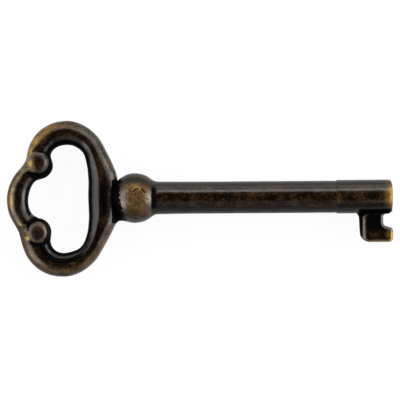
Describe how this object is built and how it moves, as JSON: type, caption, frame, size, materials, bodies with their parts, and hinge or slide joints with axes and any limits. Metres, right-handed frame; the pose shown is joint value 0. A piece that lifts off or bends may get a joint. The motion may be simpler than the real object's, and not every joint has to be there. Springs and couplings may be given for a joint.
{
  "type": "skeleton key",
  "caption": "Hollow-barrel skeleton key with a trefoil bow, a ball collar, a round shank and a notched bit.",
  "frame": {"origin": "centre of the key's box, on the shank's axis", "axes": "+X along the shank to the barrel's mouth, +Y away from the bit, +Z square to the bow's flat side"},
  "size_m": [0.0762, 0.0306, 0.0098],
  "materials": {
    "aged_brass": "antique brass, dark brown patina with rubbed edges",
    "rubbed_brass": "antique brass, rubbed bright on the high spots",
    "drawn_brass": "antique brass, smooth dark patina"
  },
  "bodies": {
    "root": {"bow_loop": "aged_brass", "bow_crest": "aged_brass", "upper_cusp_bead": "rubbed_brass", "lower_cusp_bead": "rubbed_brass", "ball_collar": "rubbed_brass", "shank": "drawn_brass", "bit_barrel": "drawn_brass", "bit": "aged_brass"}
  },
  "joints": []
}
